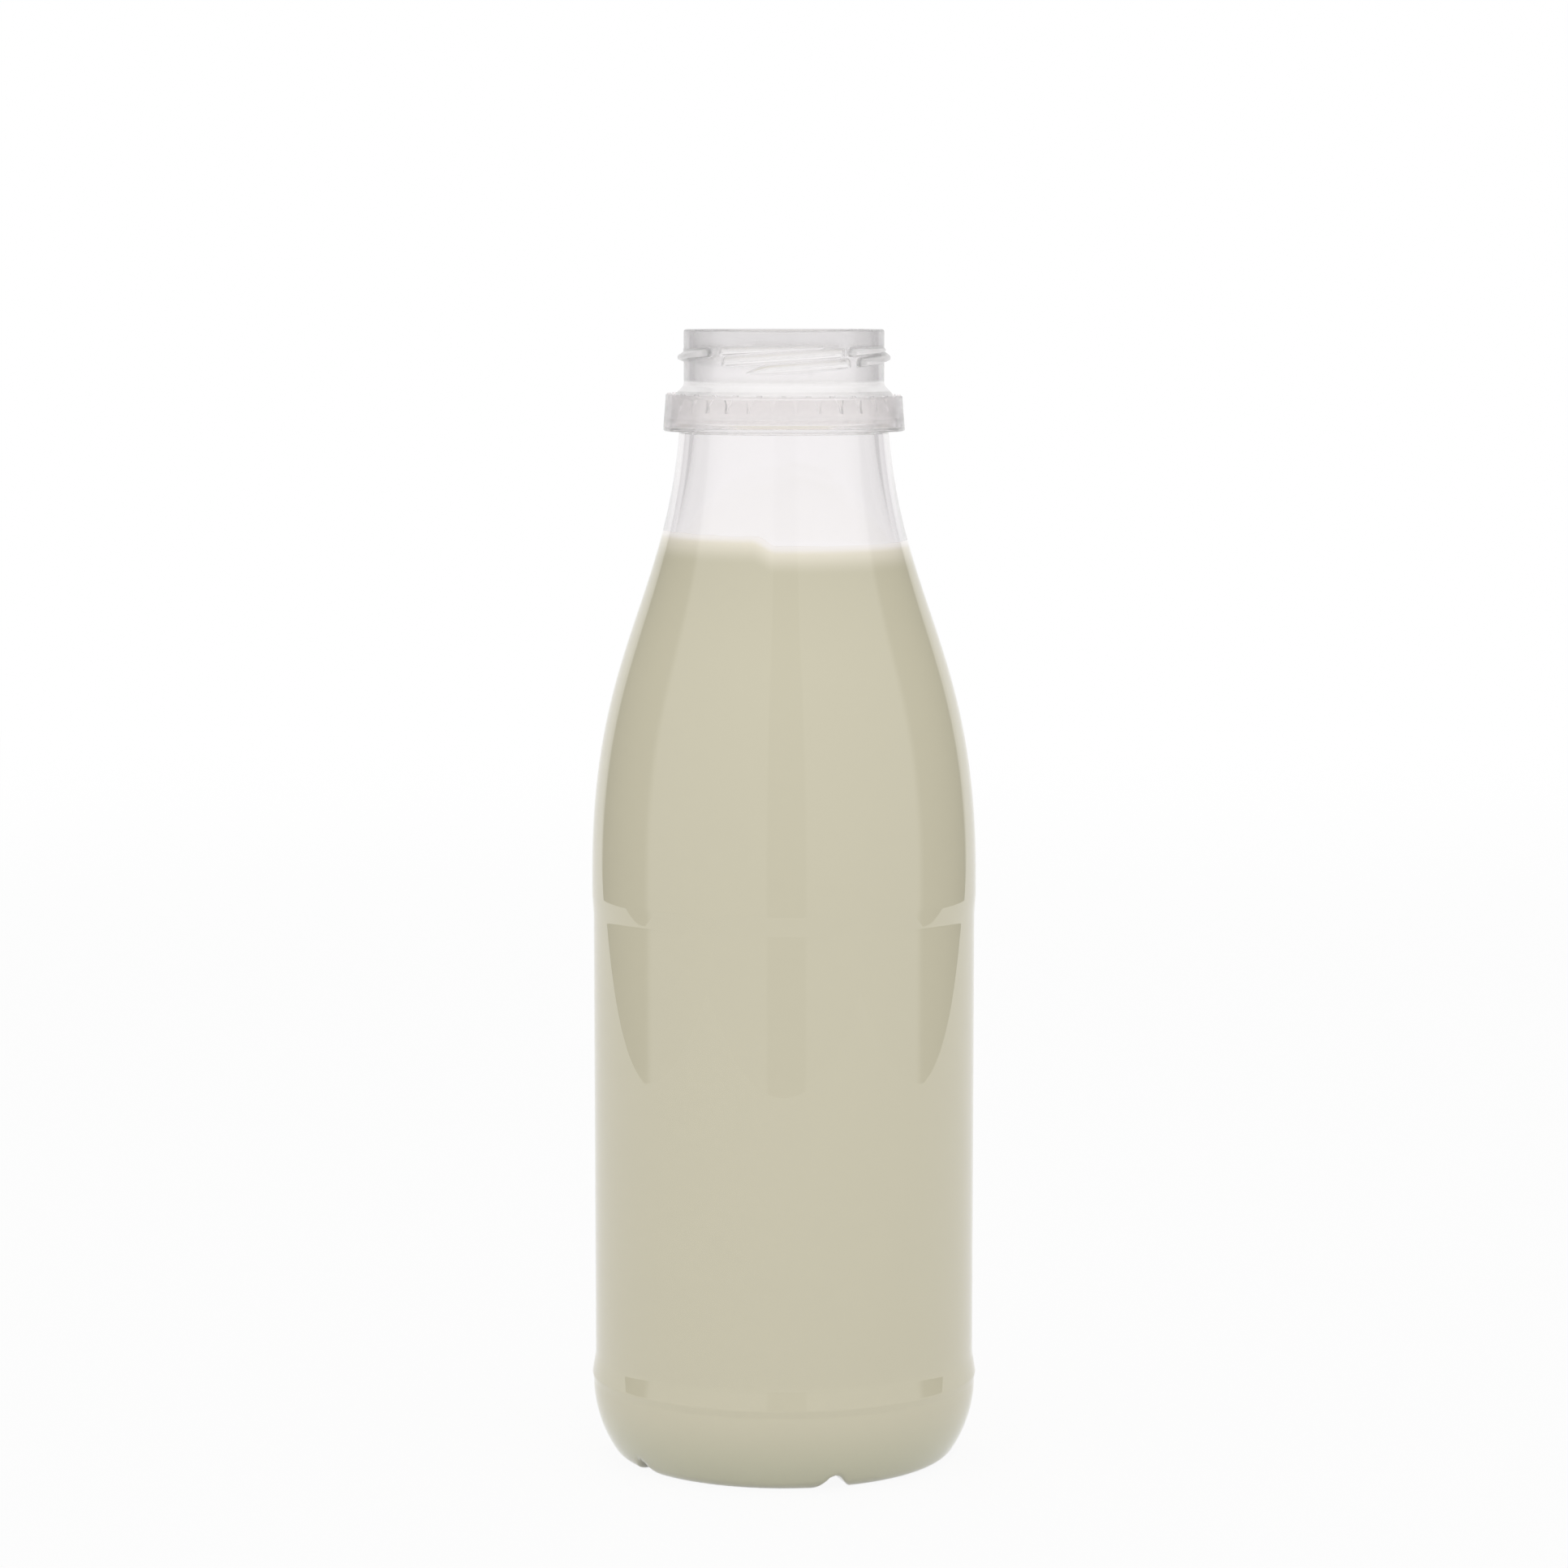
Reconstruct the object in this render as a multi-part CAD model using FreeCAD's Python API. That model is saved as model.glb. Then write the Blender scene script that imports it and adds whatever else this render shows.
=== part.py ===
"""Clear plastic milk bottle, filled, with its cap off and the cap's tamper ring left on the neck.

Three solids share one frame: the bottle, the milk in it and the tamper ring.
Millimetres. +Z is up, the origin is at the centre of the base, and -Y is the front.
Azimuths are measured from the front (-Y) towards +X.
"""
import FreeCAD, Part
import math
import os

from FreeCAD import Vector

# ---- overall ----
HEIGHT = 200.0              # base to rim
WALL = 0.4                  # blown wall of the body and base

# ---- base ----
PUSH_UP = 4.6               # height of the dome under the base
LAND_INNER_R = 24.5         # flat ring that the bottle stands on
LAND_OUTER_R = 27.1
HEEL_TOE_R = 3.95           # small heel radius beside the land
HEEL_TURN = math.radians(33.3)   # where the small heel radius hands over to the large one
HEEL_R = 33.98              # where the heel ends
FOOT_R = 34.2               # crease round the foot, the widest line
FOOT_Z = 15.0
GROOVES = 5
GROOVE_AZIMUTH = 17.0       # first groove, degrees
GROOVE_WIDTH = 7.4
GROOVE_DEPTH = 2.8
GROOVE_FROM_R = 10.0
GROOVE_TO_R = 34.0

# ---- label panel ----
PANEL_TOP_R = 33.7
PANEL_BOTTOM_R = 33.62
PANEL_BOTTOM_Z = 18.4
PANEL_TOP_Z = 97.2

# ---- shoulder ----
SHOULDER_R = 33.95
SHOULDER_BOTTOM_Z = 100.7
SHOULDER_TOP_Z = 104.0
NECK_R = 18.38              # just under the support ring
NECK_Z = 182.3
NECK_SLOPE = math.radians(4.6)
NECK_HANDLE = 30.5          # Bezier handles of the S-shaped shoulder
SHOULDER_HANDLE = 39.6

# ---- neck finish ----
FINISH_R = 17.55            # plain wall between the threads
BORE_R = 15.8
LIP_ROUND = 0.4
SUPPORT_R = 21.2            # support ring
SUPPORT_EDGE = 0.7
SUPPORT_ROUND = 0.25
SUPPORT_ROOT = 1.2
SUPPORT_FLAT_R = 19.55      # its flat top runs in to here
THROAT_R = 17.9             # groove between the support ring and the bead
BEAD_R = 18.98              # bead that holds the tamper ring down
BEAD_BOTTOM_Z = 188.1
BEAD_EDGE = 0.7
BEAD_CONE = 1.5
THICK_TO_Z = 183.0          # the neck is moulded thick above this
THIN_BELOW_Z = 138.0        # and blown thin below this
TAPER_STEPS = 24            # points on the inside of the taper

# ---- thread ----
STARTS = 4
LEAD = 7.5
THREAD_AZIMUTH = -21.0      # tip of the first start
THREAD_DROP = 7.0           # centre of the ridge under the rim at its tip
RIDGE_DEPTH = 1.1
RIDGE_WIDTH = 1.75
RIDGE_TOE = 0.3             # height of the steep lower flank
RIDGE_CREST = 0.85          # height of the crest
RIDGE_BITE = 0.35           # how far the ridge is rooted in the wall
RIDGE_STEP = 7.0            # degrees between sections
TIP_RUN = 14.0              # degrees that the ridge takes to grow from its tip
TIP_STEP = 2.8              # degrees between sections there
TIP_SIZE = 0.12
TIP_RISE = 0.45             # height of the tip over the foot of the ridge
# Parts of a start, in degrees after its tip, with vent gaps between them.
# Every second start has no low part.
LONG_START = ((0.0, 59.5), (68.5, 154.0), (164.0, 221.0))
SHORT_START = ((76.0, 145.0), (151.0, 190.0))
FADE_FROM = 158.0           # the last part of a start dies away after this
FADE_HALF = 40.0            # degrees in which it loses half of its depth

# ---- milk ----
FILL_Z = 162.4

# ---- tamper ring ----
RING_BOTTOM_R = 21.15
RING_TOP_R = 20.72
RING_TOP_Z = 188.5
RING_TILT = 0.5             # degrees that its torn top edge leans
SKIRT = 0.85                # thickness of the skirt
FOLD_INNER_R = SUPPORT_FLAT_R    # inside of the folded bottom edge
FOLD_HEIGHT = 1.5
FLAP = 0.45                 # thickness of the flaps folded up inside
FLAP_TIP_R = 18.6
FLAP_TOP_Z = 187.95
FLAPS = 30
NOTCH_WIDTH = 1.5           # V notch between two flaps
NOTCH_STEM = 0.5
NOTCH_DEPTH = 2.3
NOTCH_OVER = 0.1            # how far the notch tool reaches over the flaps
NOTCH_SHY = 0.05            # and stops short of the skirt
STUB_HEIGHT = 0.25          # torn bridge stubs on the top edge
STUB_WIDTH = 0.8
STUB_DEPTH = 0.6
STUB_ROOT = 0.5             # how far a stub is rooted in the skirt
STUB_INSET = 0.15           # from the skirt's outside
EDGE_SPARE = 1.0            # skirt drawn this much too high, then torn off

AXIS = Vector(0, 0, 1)
ORIGIN = Vector(0, 0, 0)


def rz(r, z):
    """A point of the outline, in the plane y = 0."""
    return Vector(r, 0, z)


def at_azimuth(azimuth, r, z):
    """A point at an azimuth in degrees from the front."""
    a = math.radians(azimuth)
    return Vector(r * math.sin(a), -r * math.cos(a), z)


def turn(shape, azimuth):
    """A copy of a shape drawn along +X, turned so that it points at an azimuth."""
    copy = shape.copy()
    copy.rotate(ORIGIN, AXIS, azimuth - 90.0)
    return copy


def polyline(points):
    return [Part.LineSegment(a, b).toShape() for a, b in zip(points, points[1:])]


def arc(centre, radius, start, end):
    """A circular arc in the outline's plane; angles in radians from +r towards +z."""
    def point(angle):
        return rz(centre[0] + radius * math.cos(angle), centre[1] + radius * math.sin(angle))
    return Part.Arc(point(start), point((start + end) / 2), point(end)).toShape()


def revolve(edges):
    face = Part.Face(Part.Wire(Part.sortEdges(edges)[0]))
    return face.revolve(ORIGIN, AXIS, 360)


# ---- the body's outline, and the same outline moved in by the wall ----
def heel_edges(inset):
    """Dome, standing land and heel, from the axis out to where the heel ends."""
    toe = HEEL_TOE_R
    heel = ((HEEL_R - LAND_OUTER_R) - toe * math.cos(HEEL_TURN)) / (1 - math.cos(HEEL_TURN))
    toe_centre = (LAND_OUTER_R, toe)
    heel_centre = (HEEL_R - heel, toe + (heel - toe) * math.sin(HEEL_TURN))
    dome = (LAND_INNER_R ** 2 + PUSH_UP ** 2) / (2 * PUSH_UP)
    dome_centre = (0.0, PUSH_UP - dome)
    dome_r = dome + inset
    dome_end = math.asin((inset - dome_centre[1]) / dome_r)
    edges = [arc(dome_centre, dome_r, math.pi / 2, dome_end)]
    edges += polyline([rz(dome_r * math.cos(dome_end), inset), rz(LAND_OUTER_R, inset)])
    edges.append(arc(toe_centre, toe - inset, -math.pi / 2, -HEEL_TURN))
    edges.append(arc(heel_centre, heel - inset, -HEEL_TURN, 0.0))
    return edges, rz(HEEL_R - inset, heel_centre[1])


def shoulder_curve():
    """The S-shaped shoulder, from its widest line up to the neck, as a cubic Bezier."""
    curve = Part.BezierCurve()
    curve.setPoles([
        rz(SHOULDER_R, SHOULDER_TOP_Z),
        rz(SHOULDER_R, SHOULDER_TOP_Z + SHOULDER_HANDLE),
        rz(NECK_R + NECK_HANDLE * math.sin(NECK_SLOPE), NECK_Z - NECK_HANDLE * math.cos(NECK_SLOPE)),
        rz(NECK_R, NECK_Z),
    ])
    return curve


def wall_at(z):
    """Wall thickness of the shoulder: thin below, growing smoothly to the moulded neck."""
    thick = NECK_R - BORE_R
    u = min(max((z - THIN_BELOW_Z) / (THICK_TO_Z - THIN_BELOW_Z), 0.0), 1.0)
    return WALL + (thick - WALL) * u * u * (3 - 2 * u)


def inner_shoulder():
    """The inside of the shoulder, stepped in from the outside by the wall at each height."""
    outer = shoulder_curve()
    points = []
    for i in range(TAPER_STEPS + 1):
        u = i / TAPER_STEPS
        p = outer.value(u)
        t = outer.tangent(u)[0]
        wall = wall_at(p.z)
        r = max(p.x - wall * t.z, BORE_R)
        points.append(rz(r, p.z + wall * t.x))
    points[-1] = rz(BORE_R, NECK_Z)
    curve = Part.BSplineCurve()
    curve.interpolate(points)
    return curve


def body_edges(inset, heel_end):
    """Foot, label panel and step, from the end of the heel up to the shoulder."""
    return polyline([
        heel_end,
        rz(FOOT_R - inset, FOOT_Z),
        rz(PANEL_BOTTOM_R - inset, PANEL_BOTTOM_Z),
        rz(PANEL_TOP_R - inset, PANEL_TOP_Z),
        rz(SHOULDER_R - inset, SHOULDER_BOTTOM_Z),
        rz(SHOULDER_R - inset, SHOULDER_TOP_Z),
    ])


def outer_solid():
    """The bottle's outside as if it were solid."""
    edges, heel_end = heel_edges(0.0)
    edges += body_edges(0.0, heel_end)
    edges.append(shoulder_curve().toShape())
    ring_top = NECK_Z + SUPPORT_EDGE
    cone_top = BEAD_BOTTOM_Z + BEAD_EDGE + BEAD_CONE
    edges += polyline([
        rz(NECK_R, NECK_Z),
        rz(SUPPORT_R - SUPPORT_ROUND, NECK_Z),
        rz(SUPPORT_R, NECK_Z + SUPPORT_ROUND),
        rz(SUPPORT_R, ring_top),
        rz(SUPPORT_FLAT_R, ring_top),
        rz(THROAT_R, NECK_Z + SUPPORT_ROOT),
        rz(THROAT_R, BEAD_BOTTOM_Z),
        rz(BEAD_R, BEAD_BOTTOM_Z),
        rz(BEAD_R, BEAD_BOTTOM_Z + BEAD_EDGE),
        rz(FINISH_R, cone_top),
        rz(FINISH_R, HEIGHT - LIP_ROUND),
    ])
    edges.append(arc((FINISH_R - LIP_ROUND, HEIGHT - LIP_ROUND), LIP_ROUND, 0.0, math.pi / 2))
    edges += polyline([rz(FINISH_R - LIP_ROUND, HEIGHT), rz(0, HEIGHT), rz(0, PUSH_UP)])
    return revolve(edges)


def cavity_solid():
    """Everything inside the bottle, up to the rim."""
    edges, heel_end = heel_edges(WALL)
    edges += body_edges(WALL, heel_end)
    edges.append(inner_shoulder().toShape())
    lip = LIP_ROUND
    edges += polyline([rz(BORE_R, NECK_Z), rz(BORE_R, HEIGHT - lip)])
    edges.append(arc((BORE_R + lip, HEIGHT - lip), lip, math.pi, math.pi / 2))
    edges += polyline([rz(BORE_R + lip, HEIGHT), rz(0, HEIGHT), rz(0, PUSH_UP + WALL)])
    return revolve(edges)


# ---- base grooves ----
def groove(inset):
    """One radial groove under the base: a raised-cosine section run out along +X."""
    width = GROOVE_WIDTH + 2 * inset
    depth = GROOVE_DEPTH + inset
    points = []
    steps = 12
    for i in range(steps + 1):
        u = i / steps
        points.append(Vector(GROOVE_FROM_R, (u - 0.5) * width, depth * math.sin(math.pi * u) ** 2))
    crown = Part.BSplineCurve()
    crown.interpolate(points)
    below = -1.0
    skirt = polyline([points[-1], points[-1] + Vector(0, 0, below),
                      points[0] + Vector(0, 0, below), points[0]])
    face = Part.Face(Part.Wire([crown.toShape()] + skirt))
    return face.extrude(Vector(GROOVE_TO_R - GROOVE_FROM_R, 0, 0))


def grooves(inset):
    tool = groove(inset)
    pitch = 360.0 / GROOVES
    return [turn(tool, GROOVE_AZIMUTH + i * pitch) for i in range(GROOVES)]


# ---- thread ----
def ridge_scale(along):
    """How full the ridge is, from 0 to 1, at an angle along its start."""
    grow = math.sin(min(along / TIP_RUN, 1.0) * math.pi / 2)
    fade = 0.5 ** (max(along - FADE_FROM, 0.0) / FADE_HALF)
    return max(grow * fade, TIP_SIZE)


def ridge_section(azimuth, along):
    """Section of the ridge: two flanks and a flat crest, rooted in the wall."""
    s = ridge_scale(along)
    rise = TIP_RISE * (1.0 - s) if along < TIP_RUN else 0.0
    root = HEIGHT - THREAD_DROP + LEAD * along / 360.0 - RIDGE_WIDTH / 2 + rise
    inside = FINISH_R - RIDGE_BITE
    crest = FINISH_R + RIDGE_DEPTH * s
    corners = [
        (inside, root),
        (crest, root + RIDGE_TOE * s),
        (crest, root + (RIDGE_TOE + RIDGE_CREST) * s),
        (inside, root + RIDGE_WIDTH * s),
    ]
    points = [at_azimuth(azimuth, r, z) for r, z in corners]
    return Part.Wire(polyline(points + points[:1]))


def spread(begin, end, step):
    """Angles from begin to end, at most about a step apart."""
    count = max(int(round((end - begin) / step)), 2)
    return [begin + (end - begin) * i / count for i in range(count + 1)]


def ridges():
    shapes = []
    for start in range(STARTS):
        tip = THREAD_AZIMUTH + start * 360.0 / STARTS
        for begin, end in LONG_START if start % 2 == 0 else SHORT_START:
            if begin < TIP_RUN:
                stations = spread(begin, TIP_RUN, TIP_STEP)[:-1] + spread(TIP_RUN, end, RIDGE_STEP)
            else:
                stations = spread(begin, end, RIDGE_STEP)
            sections = [ridge_section(tip + along, along) for along in stations]
            shapes.append(Part.makeLoft(sections, True, False))
    return shapes


# ---- tamper ring ----
def skirt_r(z):
    """Outside radius of the conical skirt."""
    bottom = NECK_Z + SUPPORT_EDGE
    return RING_BOTTOM_R + (RING_TOP_R - RING_BOTTOM_R) * (z - bottom) / (RING_TOP_Z - bottom)


def ring_section():
    """Skirt, folded bottom edge and flap, as one closed outline."""
    bottom = NECK_Z + SUPPORT_EDGE
    fold = bottom + FOLD_HEIGHT
    high = RING_TOP_Z + EDGE_SPARE
    section = [
        rz(skirt_r(bottom), bottom),
        rz(skirt_r(high), high),
        rz(skirt_r(high) - SKIRT, high),
        rz(skirt_r(fold) - SKIRT, fold),
        rz(FLAP_TIP_R + FLAP, FLAP_TOP_Z),
        rz(FLAP_TIP_R, FLAP_TOP_Z),
        rz(FOLD_INNER_R, fold - FOLD_HEIGHT / 2),
        rz(FOLD_INNER_R, bottom),
    ]
    return polyline(section + section[:1])


def above_torn_edge():
    """Everything above the leaning top edge."""
    size = 4 * RING_BOTTOM_R
    block = Part.makeBox(size, size, size, Vector(-size / 2, -size / 2, 0))
    block.rotate(ORIGIN, Vector(0, 1, 0), RING_TILT)
    block.translate(Vector(0, 0, RING_TOP_Z))
    return block


def flap_notch():
    """A V that narrows to a stem, cut through one place in the flaps along +X."""
    top = FLAP_TOP_Z + NOTCH_OVER
    middle = FLAP_TOP_Z - NOTCH_DEPTH / 2
    low = FLAP_TOP_Z - NOTCH_DEPTH
    half = [(NOTCH_WIDTH / 2, top), (NOTCH_STEM / 2, middle), (NOTCH_STEM / 2, low)]
    points = [Vector(0, y, z) for y, z in half]
    points += [Vector(0, -y, z) for y, z in reversed(half)]
    face = Part.Face(Part.Wire(polyline(points + points[:1])))
    reach = skirt_r(FLAP_TOP_Z) - SKIRT - NOTCH_SHY
    return face.extrude(Vector(reach, 0, 0))


def stub(azimuth):
    """A torn bridge stub on the leaning top edge."""
    outer = skirt_r(RING_TOP_Z) - STUB_INSET
    lean = outer * math.sin(math.radians(azimuth)) * math.tan(math.radians(RING_TILT))
    low = RING_TOP_Z - STUB_ROOT
    height = STUB_ROOT + STUB_HEIGHT - lean
    box = Part.makeBox(STUB_DEPTH, STUB_WIDTH, height, Vector(outer - STUB_DEPTH, -STUB_WIDTH / 2, low))
    return turn(box, azimuth)


def tamper_ring():
    """A skirt with its bottom edge folded up inside into flaps, and torn stubs on top."""
    pitch = 360.0 / FLAPS
    ring = revolve(ring_section()).cut(above_torn_edge())
    ring = ring.cut([turn(flap_notch(), (i + 0.5) * pitch) for i in range(FLAPS)])
    return ring.fuse([stub(i * pitch) for i in range(FLAPS)])


def save(name, shape):
    shape = shape.removeSplitter()
    print(name, "solids", len(shape.Solids), "valid", shape.isValid(), "volume", round(shape.Volume, 1))
    shape.exportStep(os.path.join("parts", name + ".step"))


os.makedirs("parts", exist_ok=True)

outside = outer_solid().cut(grooves(0.0))
inside = cavity_solid().cut(grooves(WALL))
bottle = outside.fuse(ridges()).cut(inside)
room = 4 * SHOULDER_R
headspace = Part.makeBox(room, room, HEIGHT, Vector(-room / 2, -room / 2, FILL_Z))
milk = inside.cut(headspace)

save("bottle", bottle)
save("milk", milk)
save("tamper_ring", tamper_ring())
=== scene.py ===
import math
from functools import lru_cache

import bpy
import numpy as np
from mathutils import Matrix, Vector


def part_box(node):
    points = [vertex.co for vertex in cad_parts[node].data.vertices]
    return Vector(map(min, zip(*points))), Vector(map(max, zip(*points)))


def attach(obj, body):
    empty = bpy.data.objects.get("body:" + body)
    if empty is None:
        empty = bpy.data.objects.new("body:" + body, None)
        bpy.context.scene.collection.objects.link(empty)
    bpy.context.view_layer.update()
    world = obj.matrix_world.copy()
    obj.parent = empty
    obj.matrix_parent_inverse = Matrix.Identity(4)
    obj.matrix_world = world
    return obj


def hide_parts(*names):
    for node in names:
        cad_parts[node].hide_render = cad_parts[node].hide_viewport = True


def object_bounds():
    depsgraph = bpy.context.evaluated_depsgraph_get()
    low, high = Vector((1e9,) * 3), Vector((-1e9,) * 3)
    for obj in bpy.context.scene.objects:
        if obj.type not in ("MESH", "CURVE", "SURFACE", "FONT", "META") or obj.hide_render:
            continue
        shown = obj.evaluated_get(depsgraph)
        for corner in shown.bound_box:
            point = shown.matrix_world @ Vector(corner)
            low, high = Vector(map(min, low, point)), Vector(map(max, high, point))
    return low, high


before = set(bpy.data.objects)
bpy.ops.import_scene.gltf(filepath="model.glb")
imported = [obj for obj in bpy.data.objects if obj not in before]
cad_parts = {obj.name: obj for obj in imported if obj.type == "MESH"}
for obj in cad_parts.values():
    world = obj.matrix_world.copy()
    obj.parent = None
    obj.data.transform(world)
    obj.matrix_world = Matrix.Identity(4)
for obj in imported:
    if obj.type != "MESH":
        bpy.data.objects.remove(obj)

# Lengths in this file are millimetres; MM turns them into metres where a mesh or a place is made.
MM = 0.001
CAD_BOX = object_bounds()
HEIGHT = CAD_BOX[1].z / MM
FOOT_R = CAD_BOX[1].x / MM
FILL_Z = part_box("milk")[1].z / MM

# ---------------------------------------------------------------- the bottle's sizes, as in the CAD part
WALL = 0.4
PUSH_UP = 4.6
LAND_INNER_R = 24.5
LAND_OUTER_R = 27.1
HEEL_TOE_R = 3.95
HEEL_TURN = math.radians(33.3)
HEEL_R = 33.98
FOOT_Z = 15.0
GROOVES = 5
GROOVE_AZIMUTH = 17.0
GROOVE_WIDTH = 7.4
GROOVE_DEPTH = 2.8
GROOVE_EDGE = 0.25
TINY = 1e-9                 # keeps a division from being by zero
PANEL_TOP_R = 33.7
PANEL_BOTTOM_R = 33.62
PANEL_BOTTOM_Z = 18.4
PANEL_TOP_Z = 97.2
SHOULDER_R = 33.95
SHOULDER_BOTTOM_Z = 100.7
SHOULDER_TOP_Z = 104.0
STEP_ROUND = 6.0
FOOT_ROUND = 1.2
LAND_CUT = 0.525            # length at the land's inner edge that its rounding takes
NECK_R = 18.38
NECK_Z = 182.3
NECK_SLOPE = math.radians(4.6)
NECK_HANDLE = 30.5
SHOULDER_HANDLE = 39.6
FINISH_R = 17.55
BORE_R = 15.8
LIP_ROUND = 0.4
SUPPORT_R = 21.2
SUPPORT_EDGE = 0.7
SUPPORT_ROUND = 0.25
SUPPORT_ROOT = 1.2
SUPPORT_FLAT_R = 19.55
THROAT_R = 17.9
BEAD_R = 18.98
BEAD_BOTTOM_Z = 188.1
BEAD_EDGE = 0.7
BEAD_CONE = 1.5
THICK_TO_Z = 183.0
THIN_BELOW_Z = 138.0
STARTS = 4
LEAD = 7.5
THREAD_AZIMUTH = -21.0
THREAD_DROP = 7.0
RIDGE_DEPTH = 1.1
RIDGE_WIDTH = 1.75
TIP_RUN = 14.0
TIP_SIZE = 0.12
TIP_RISE = 0.45
LONG_START = ((0.0, 59.5), (68.5, 154.0), (164.0, 221.0))
SHORT_START = ((76.0, 145.0), (151.0, 190.0))
FADE_FROM = 158.0
FADE_HALF = 40.0
END_ROUND = 2.2             # degrees over which a part of a ridge ends, to each side
LOW_FLANK = (-0.04, 0.26)   # where the ridge's flanks rise, as shares of its width
HIGH_FLANK = (1.05, 0.45)

# Radii of the corners on the neck, from the neck's end up.
NECK_ROUND = 0.35
FLAT_ROUND = 0.3
THROAT_ROUND = 0.5
BEAD_ROOT_ROUND = 0.2
BEAD_ROUND = 0.15
BEAD_TOP_ROUND = 0.3
CONE_ROUND = 1.4
CONE_TOP_Z = BEAD_BOTTOM_Z + BEAD_EDGE + BEAD_CONE

# ---------------------------------------------------------------- the meshes' fineness
COLUMNS = 384               # points round the axis
THREAD_ROW = 0.08           # height of a row of faces on the finish
SHOULDER_STEPS = 64
CORNER_STEPS = 6
CORNER_SHARE = 0.45         # the most of a straight that a corner's rounding takes
GUARD_SHARE = 0.15          # a guard point is this share of the rounding beyond it,
GUARD_MOST = 0.1            # and no more than this
DOME_STEPS = 22
LAND_STEPS = 5
LAND_ROW = 0.6              # a row of points this far inside the land's outer edge
TOE_STEPS = 12
HEEL_STEPS = 14
LIP_STEPS = 7
LEAD_IN = 1.0               # a straight before and after a stretch of rounded corners
BORE_ROW = 0.2              # rows that keep the bore straight: under its lip, over the neck's end
BORE_FOOT = 6.0
BASE_ROWS = 60              # rows of an outline that hold the whole base and its grooves

# ---------------------------------------------------------------- the milk's edge
MILK_PUSH = 0.1             # how far the milk reaches into the wall
MENISCUS = 0.45
FAR_MENISCUS = 0.15
FILM_HEIGHT = 1.75          # the film stands this much over the meniscus
FILM_START = (-3.0, -13.0)  # azimuths over which the film rises, and over which it ends
FILM_END = (-120.0, -95.0)
NEAR_SIDE = (120.0, 80.0)   # azimuths over which the meniscus grows to its height in front
FILM_WAVES = ((0.07, 5, 20), (0.05, 17, 0))     # height, waves round the bottle, start in degrees
FILM_FADE = 0.28            # how fast the meniscus falls away from the wall
FILM_CLIMB = (0.15, 0.35, 0.6, 0.8, 0.92, 1.0)
FILM_BACK = (0.06, 0.12, 0.2, 0.3, 0.45, 0.65, 0.9, 1.3, 1.8, 2.6, 4.0, 8.0, 14.0)

# ---------------------------------------------------------------- looks
WHITE = (1, 1, 1, 1)
NOISE_DETAIL = 2.0
PET_IOR = 1.575
PET_GREY = 0.015            # absorption per millimetre
PET_THROUGH = 0.97          # what the plastic leaves of the light on the milk
TINT_GRAIN = 60.0           # fineness of the unevenness in tint and in gloss
TINT_LOW = 0.985
GLOSS_GRAIN = 200.0
GLOSS_NOISE = (0.35, 0.75)
GLOSS_SPREAD = 0.02
FINISH_BELOW_BEAD = 0.5     # the finish's rougher surface starts this much under the bead
FINISH_ROUGHNESS = 0.15
TOP_FROM_Z = 195.5          # the painted shade on the finish grows from here up
TOP_FULL_Z = 198.0
TOP_PAINTED_SHADE = 0.17             # the share of the light that the painted shade takes off there
SIDE_FULL = 0.6             # how far a side turns away before its painted shade is full
SIDE_PAINTED_SHADE = 0.13
RIDGE_OUT = (0.2, 0.7)      # distance from the finish over which a ridge's painted highlight grows
RIDGE_PAINTED_HIGHLIGHT = 0.35
CONE_FROM = (-1.5, -0.8)    # heights over the cone's top over which its painted highlight grows and ends
CONE_TO = (1.0, 0.4)
CONE_PAINTED_HIGHLIGHT = 0.62
PAINTED_HIGHLIGHT_WHITE = (0.99, 0.975, 0.975, 1)
DEEP_RAY_DEPTH = 14           # turns after which the plastic shows painted light, a grey emission, instead of going dark
# the grey of that painted light
DEEP_RAY_PAINTED_LIGHT = 0.95
RING_IOR = 1.33
RING_ROUGHNESS = 0.14
RING_CLEAR = 0.87
RING_THROUGH = 0.9
RING_GRAIN = 80.0
RING_TINTS = ((0.99, 0.975, 0.975, 1), (1.0, 0.985, 0.985, 1))
# facings over which painted shade darkens the ring's outline, and how much
RING_SIDE = (0.15, 0.75)
RING_PAINTED_SHADE = 0.15
MILK_IOR = 1.35
MILK_GLOSS = 0.5
MILK_GRAIN = 25.0
MILK_TINTS = ((216, 210, 184), (214, 208, 183))     # 0 to 255 sRGB
MILK_BASE_SHADE = (206, 204, 178)
MILK_EDGE_PAINTED_LIGHT = (252, 245, 227)
MILK_ROUGHNESS = 0.62
MILK_TOP_GLOSS = 0.58       # taken off the roughness on the level top
TOP_SKIN = (0.1, 0.02)      # depths over which the top's gloss grows
MILK_BASE_Z = (14.0, 2.0)   # heights over which painted shade darkens the milk towards the base
PALE_DEPTH = 4.4            # painted light makes the milk paler from this depth up
EDGE_DROP = 0.2
THIN_DEPTH = 1.3            # and shows painted light from behind from this depth under its edge
THIN_SHARE = 0.9
THIN_PAINTED_LIGHT = (0.93, 0.89, 0.87, 1)
NEAR_WALL = (2.2, 1.2)      # distances from the wall over which the film's painted light grows
FILM_X = (-1.3, -5.6)
FILM_Y = (1.0, 0.0)

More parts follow.
